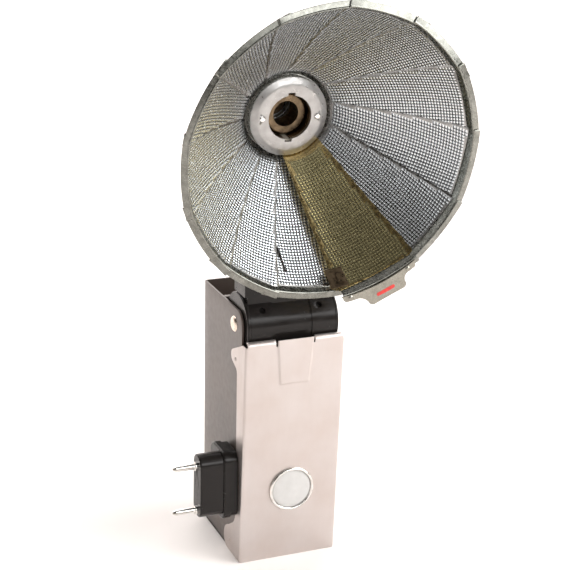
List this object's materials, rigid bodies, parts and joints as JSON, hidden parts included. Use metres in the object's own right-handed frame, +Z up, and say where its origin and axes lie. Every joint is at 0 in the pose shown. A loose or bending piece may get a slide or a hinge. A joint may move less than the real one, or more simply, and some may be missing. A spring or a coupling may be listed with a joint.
{
  "type": "folding-fan flash gun",
  "caption": "Slim battery case with a slide-off front, a side camera plug and a tilting head whose reflector petals fan out round a bulb socket.",
  "frame": {"origin": "centre of the flat base the case stands on", "axes": "+Z up, -Y towards the subject, +X to the object's right as seen from its front"},
  "size_m": [0.1058, 0.0838, 0.2153],
  "materials": {
    "case_paint": "semi-gloss",
    "cover_sheet": "satin",
    "badge_chrome": "polished",
    "badge_white": "gloss",
    "black_moulding": "gloss",
    "hub_metal": "satin",
    "socket_brass": "satin",
    "spring_steel": "satin",
    "pin_nickel": "polished",
    "reflector_metal": "polished",
    "reflector_gold": "polished",
    "tab_metal": "satin",
    "insulating_board": "matte",
    "battery_wrap": "satin",
    "capacitor_can": "satin",
    "white_insulator": "matte"
  },
  "bodies": {
    "case": {"case_shell": "case_paint", "head_stop_bar": "case_paint", "hinge_pin": "pin_nickel", "battery": "battery_wrap", "battery_cradle": "insulating_board", "battery_contact_low": "spring_steel", "battery_contact_high": "spring_steel", "capacitor": "capacitor_can", "resistor": "insulating_board", "terminal_board": "insulating_board", "terminal_eyelets": "socket_brass", "detent_spring": "spring_steel", "plug_base": "black_moulding", "plug_body": "black_moulding", "plug_pin_lower": "pin_nickel", "plug_pin_upper": "pin_nickel", "plug_screw": "pin_nickel"},
    "cover": {"front_cover": "cover_sheet", "badge_ring": "badge_chrome", "badge_disc": "badge_white"},
    "head": {"head_moulding": "black_moulding", "barrel_end_left": "black_moulding", "barrel_end_right": "black_moulding", "barrel_screws": "spring_steel", "fan_axle": "hub_metal", "face_ring": "hub_metal", "face_screws": "hub_metal", "wave_washer": "spring_steel", "lamp_socket": "hub_metal", "socket_insulator": "white_insulator", "collar_spring": "spring_steel", "contact_spring": "spring_steel", "rear_cap": "black_moulding", "cap_screws": "pin_nickel", "petal_01": "reflector_metal"},
    "collar": {"mini_collar": "socket_brass"},
    "contact": {"contact_plunger": "socket_brass"},
    "petal_02": {"petal_02": "reflector_metal"},
    "petal_03": {"petal_03": "reflector_metal"},
    "petal_04": {"petal_04": "reflector_metal"},
    "petal_05": {"petal_05": "reflector_metal"},
    "petal_06": {"petal_06": "reflector_metal"},
    "petal_07": {"petal_07": "reflector_metal"},
    "petal_08": {"petal_08": "reflector_metal"},
    "petal_09": {"petal_09": "reflector_metal"},
    "petal_10": {"petal_10": "reflector_metal"},
    "petal_11": {"petal_11": "reflector_metal"},
    "petal_12": {"petal_12": "reflector_metal"},
    "lead_petal": {"petal_13": "reflector_gold", "pull_tab": "tab_metal", "tab_rivets": "tab_metal", "latch_clip": "tab_metal", "latch_rivet": "socket_brass"}
  },
  "joints": [
    {"name": "head_tilt", "type": "hinge", "parent": "case", "child": "head", "pos_m": [0, -0.0118, 0.0927], "axis": [-1, 0, 0], "range_deg": [0, 45]},
    {"name": "cover_pull", "type": "slide", "parent": "case", "child": "cover", "axis": [0, -1, 0], "range_m": [0, 0.02]},
    {"name": "collar_press", "type": "slide", "parent": "head", "child": "collar", "axis": [0, 0.9897, 0.1435], "range_m": [0, 0.005], "stiffness_N_per_m": 800, "springref_m": -0.001, "deforming": ["collar_spring"]},
    {"name": "contact_plunge", "type": "slide", "parent": "head", "child": "contact", "axis": [0, 0.9897, 0.1435], "range_m": [0, 0.003], "stiffness_N_per_m": 400, "springref_m": -0.001, "deforming": ["contact_spring"]},
    {"name": "fan_close", "type": "hinge", "parent": "head", "child": "lead_petal", "pos_m": [0, -0.01505, 0.1683], "axis": [0, -0.9897, -0.1435], "range_deg": [0, 328]},
    {"name": "fan_follow_02", "type": "hinge", "parent": "head", "child": "petal_02", "pos_m": [0, -0.01505, 0.1683], "axis": [0, -0.9897, -0.1435], "range_deg": [0, 27.5]},
    {"name": "fan_follow_03", "type": "hinge", "parent": "head", "child": "petal_03", "pos_m": [0, -0.01505, 0.1683], "axis": [0, -0.9897, -0.1435], "range_deg": [0, 51.5]},
    {"name": "fan_follow_04", "type": "hinge", "parent": "head", "child": "petal_04", "pos_m": [0, -0.01505, 0.1683], "axis": [0, -0.9897, -0.1435], "range_deg": [0, 79.5]},
    {"name": "fan_follow_05", "type": "hinge", "parent": "head", "child": "petal_05", "pos_m": [0, -0.01505, 0.1683], "axis": [0, -0.9897, -0.1435], "range_deg": [0, 108.5]},
    {"name": "fan_follow_06", "type": "hinge", "parent": "head", "child": "petal_06", "pos_m": [0, -0.01505, 0.1683], "axis": [0, -0.9897, -0.1435], "range_deg": [0, 135.5]},
    {"name": "fan_follow_07", "type": "hinge", "parent": "head", "child": "petal_07", "pos_m": [0, -0.01505, 0.1683], "axis": [0, -0.9897, -0.1435], "range_deg": [0, 163.5]},
    {"name": "fan_follow_08", "type": "hinge", "parent": "head", "child": "petal_08", "pos_m": [0, -0.01505, 0.1683], "axis": [0, -0.9897, -0.1435], "range_deg": [0, 190.5]},
    {"name": "fan_follow_09", "type": "hinge", "parent": "head", "child": "petal_09", "pos_m": [0, -0.01505, 0.1683], "axis": [0, -0.9897, -0.1435], "range_deg": [0, 217.5]},
    {"name": "fan_follow_10", "type": "hinge", "parent": "head", "child": "petal_10", "pos_m": [0, -0.01505, 0.1683], "axis": [0, -0.9897, -0.1435], "range_deg": [0, 244.5]},
    {"name": "fan_follow_11", "type": "hinge", "parent": "head", "child": "petal_11", "pos_m": [0, -0.01505, 0.1683], "axis": [0, -0.9897, -0.1435], "range_deg": [0, 272.5]},
    {"name": "fan_follow_12", "type": "hinge", "parent": "head", "child": "petal_12", "pos_m": [0, -0.01505, 0.1683], "axis": [0, -0.9897, -0.1435], "range_deg": [0, 301.5]}
  ],
  "couplings": [
    {"joint": "fan_follow_02", "follows": "fan_close", "ratio": 0.082317},
    {"joint": "fan_follow_03", "follows": "fan_close", "ratio": 0.15549},
    {"joint": "fan_follow_04", "follows": "fan_close", "ratio": 0.24085},
    {"joint": "fan_follow_05", "follows": "fan_close", "ratio": 0.32927},
    {"joint": "fan_follow_06", "follows": "fan_close", "ratio": 0.41158},
    {"joint": "fan_follow_07", "follows": "fan_close", "ratio": 0.49695},
    {"joint": "fan_follow_08", "follows": "fan_close", "ratio": 0.57927},
    {"joint": "fan_follow_09", "follows": "fan_close", "ratio": 0.66158},
    {"joint": "fan_follow_10", "follows": "fan_close", "ratio": 0.7439},
    {"joint": "fan_follow_11", "follows": "fan_close", "ratio": 0.82927},
    {"joint": "fan_follow_12", "follows": "fan_close", "ratio": 0.91768}
  ]
}
